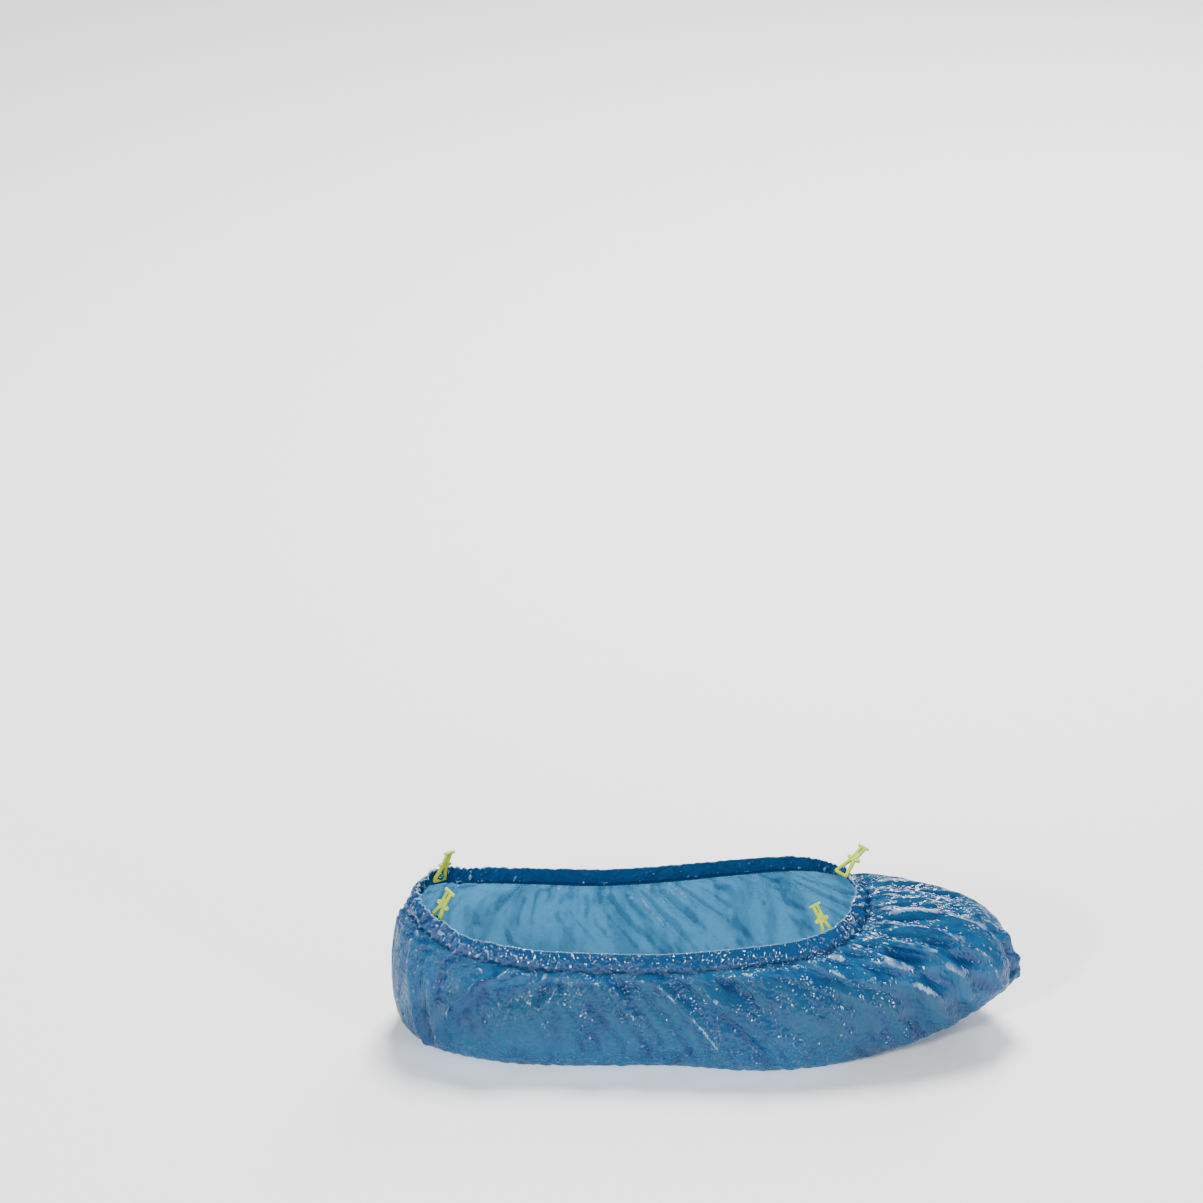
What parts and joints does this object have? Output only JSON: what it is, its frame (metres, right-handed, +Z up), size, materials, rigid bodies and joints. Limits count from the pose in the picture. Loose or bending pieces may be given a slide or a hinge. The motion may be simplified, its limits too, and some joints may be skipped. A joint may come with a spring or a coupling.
{
  "type": "disposable shoe cover",
  "caption": "Translucent blue film overshoe for a right shoe in its worn form, with a gathered elastic opening and small plastic dispenser clips on its hem.",
  "frame": {"origin": "middle of the floor rectangle under the cover, at the height of the sole's underside", "axes": "+X towards the toe, +Y towards the inner side of a right foot, +Z up"},
  "size_m": [0.3206, 0.1106, 0.0915],
  "materials": {
    "film": "translucent embossed polyethylene film, glossy, finely creased",
    "hem": "folded film ruched over elastic, glossy",
    "clip": "moulded light yellow-green plastic, semi-gloss"
  },
  "bodies": {
    "root": {"film_body": "film", "elastic_hem": "hem", "clip_front_outer": "clip", "clip_front_inner": "clip", "clip_heel_outer": "clip", "clip_heel_inner": "clip"}
  },
  "joints": []
}
